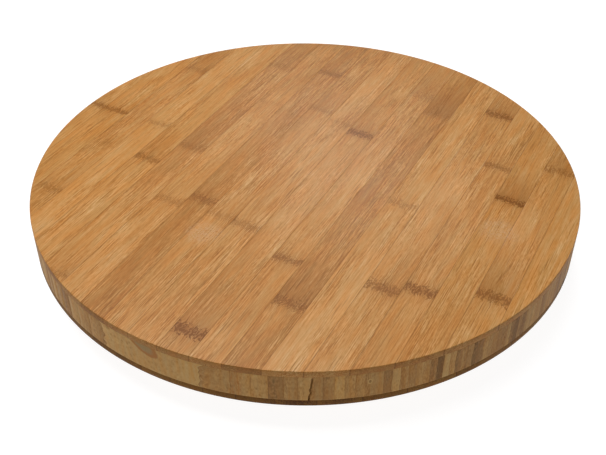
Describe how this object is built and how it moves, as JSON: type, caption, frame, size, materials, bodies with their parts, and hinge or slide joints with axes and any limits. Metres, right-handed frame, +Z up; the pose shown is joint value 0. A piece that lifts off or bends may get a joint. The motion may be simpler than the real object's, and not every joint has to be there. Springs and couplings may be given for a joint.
{
  "type": "lazy susan turntable",
  "caption": "Round cross-laminated bamboo board that turns without end on a pressed-steel ball bearing over a smaller bamboo base with rubber feet.",
  "frame": {"origin": "on the spin axis, at the level that the rubber feet stand on", "axes": "+Z up along the spin axis, out of the top face; +Y along the grain of the top strips; +X across them"},
  "size_m": [0.4, 0.4, 0.053],
  "materials": {
    "bamboo_face": "oiled satin bamboo, honey brown, grain along the strip",
    "bamboo_face_dark": "oiled satin bamboo, darker brown strip",
    "bamboo_face_light": "oiled satin bamboo, paler yellow strip",
    "bamboo_core": "sanded bamboo end grain, olive brown, satin",
    "bamboo_base": "sanded and lightly oiled bamboo",
    "zinc_plate": "galvanised pressed steel with a faint spangle",
    "zinc_screw": "bright zinc-plated steel",
    "ball_steel": "polished bearing steel",
    "retainer_nylon": "moulded black nylon",
    "rubber": "matte black rubber"
  },
  "bodies": {
    "base": {"base_disc": "bamboo_base", "rubber_foot_01": "rubber", "rubber_foot_02": "rubber", "rubber_foot_03": "rubber", "rubber_foot_04": "rubber", "lower_bearing_plate": "zinc_plate", "base_screw_01": "zinc_screw", "base_screw_02": "zinc_screw", "base_screw_03": "zinc_screw", "base_screw_04": "zinc_screw"},
    "turntable": {"face_strip_01": "bamboo_face", "face_strip_02": "bamboo_face", "face_strip_03": "bamboo_face", "face_strip_04": "bamboo_face", "face_strip_05": "bamboo_face", "face_strip_06": "bamboo_face", "face_strip_07": "bamboo_face", "face_strip_08": "bamboo_face_dark", "face_strip_09": "bamboo_face", "face_strip_10": "bamboo_face", "face_strip_11": "bamboo_face", "face_strip_12": "bamboo_face", "face_strip_13": "bamboo_face_dark", "face_strip_14": "bamboo_face_light", "face_strip_15": "bamboo_face", "face_strip_16": "bamboo_face", "face_strip_17": "bamboo_face", "face_strip_18": "bamboo_face", "face_strip_19": "bamboo_face", "core_panel": "bamboo_core", "bottom_ply": "bamboo_face", "upper_bearing_plate": "zinc_plate", "board_screw_01": "zinc_screw", "board_screw_02": "zinc_screw", "board_screw_03": "zinc_screw", "board_screw_04": "zinc_screw"},
    "ball_cage": {"ball_retainer": "retainer_nylon", "bearing_ball_01": "ball_steel", "bearing_ball_02": "ball_steel", "bearing_ball_03": "ball_steel", "bearing_ball_04": "ball_steel", "bearing_ball_05": "ball_steel", "bearing_ball_06": "ball_steel", "bearing_ball_07": "ball_steel", "bearing_ball_08": "ball_steel", "bearing_ball_09": "ball_steel", "bearing_ball_10": "ball_steel", "bearing_ball_11": "ball_steel", "bearing_ball_12": "ball_steel", "bearing_ball_13": "ball_steel", "bearing_ball_14": "ball_steel", "bearing_ball_15": "ball_steel", "bearing_ball_16": "ball_steel"}
  },
  "joints": [
    {"name": "turntable_spin", "type": "hinge", "parent": "base", "child": "turntable", "pos_m": [0, 0, 0.019], "axis": [0, 0, 1], "continuous": true},
    {"name": "ball_cage_roll", "type": "hinge", "parent": "base", "child": "ball_cage", "pos_m": [0, 0, 0.019], "axis": [0, 0, 1], "continuous": true}
  ],
  "couplings": [
    {"joint": "ball_cage_roll", "follows": "turntable_spin", "ratio": 0.5}
  ]
}
